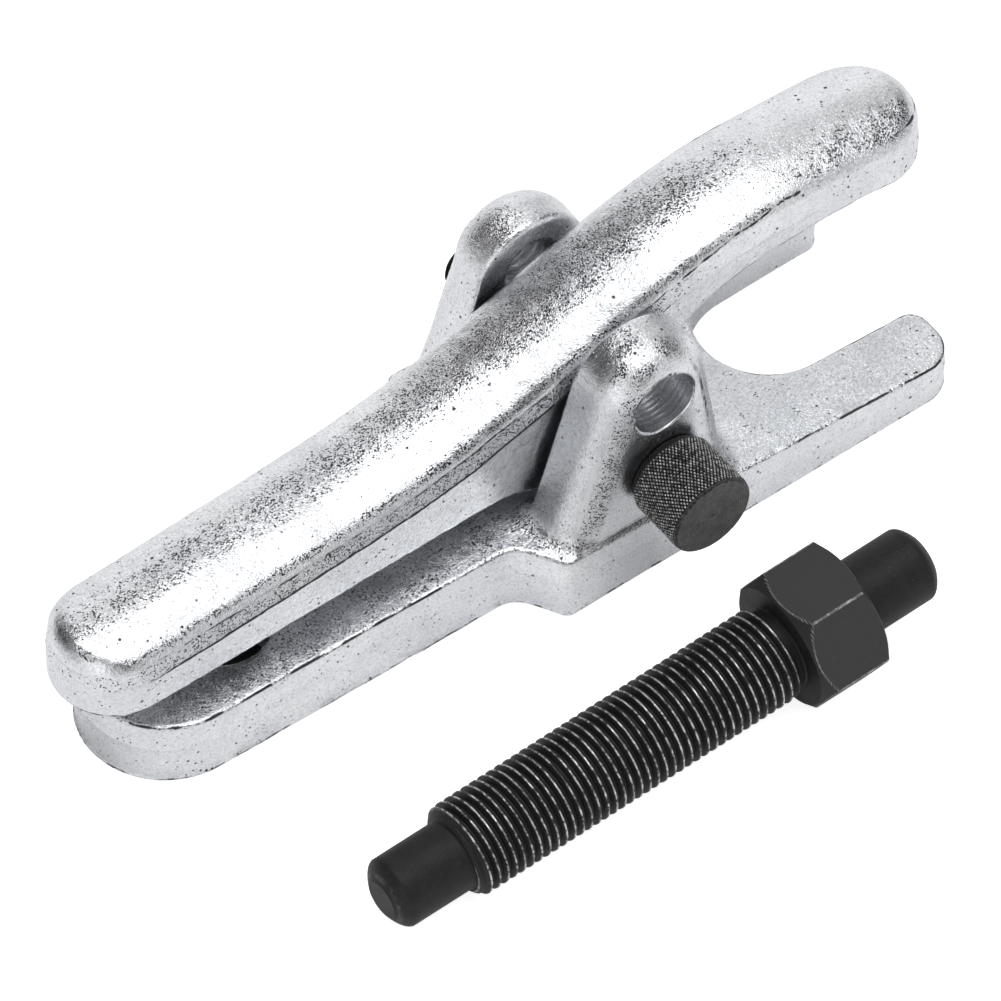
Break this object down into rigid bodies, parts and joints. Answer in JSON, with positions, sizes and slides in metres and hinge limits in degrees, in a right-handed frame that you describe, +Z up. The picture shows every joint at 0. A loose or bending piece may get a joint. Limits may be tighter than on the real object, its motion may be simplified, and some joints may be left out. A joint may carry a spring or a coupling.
{
  "type": "ball joint separator",
  "caption": "Forged lever-type ball joint separator: slotted fork with two ears, arched lever on a knurled screw-in pivot pin, and a loose forcing screw lying beside it.",
  "frame": {"origin": "on the fork's flat underside, straight below the pivot pin's axis, on the tool's mid-plane", "axes": "+X from the tail to the tips of the fork, +Z up from the underside, Y along the pivot pin with its head on the -Y side"},
  "size_m": [0.203, 0.118, 0.0648],
  "materials": {
    "zinc_plated_forging": "bright zinc plating over a rough forged and shot-blasted skin",
    "black_oxide_steel": "satin black oxide over turned steel"
  },
  "bodies": {
    "fork": {"base_fork": "zinc_plated_forging"},
    "lever": {"lever_arm": "zinc_plated_forging"},
    "pin": {"pivot_pin": "black_oxide_steel"},
    "screw": {"force_screw": "black_oxide_steel"}
  },
  "joints": [
    {"name": "lever_pivot", "type": "hinge", "parent": "fork", "child": "lever", "pos_m": [0, 0, 0.0282], "axis": [0, 1, 0], "range_deg": [0, 26]},
    {"name": "pin_pull", "type": "slide", "parent": "fork", "child": "pin", "axis": [0, -1, 0], "range_m": [0, 0.065]},
    {"name": "screw_aside", "type": "slide", "parent": "fork", "child": "screw", "axis": [0, -1, 0], "range_m": [0, 0.065]}
  ],
  "couplings": [
    {"joint": "screw_aside", "follows": "pin_pull", "ratio": 1}
  ]
}
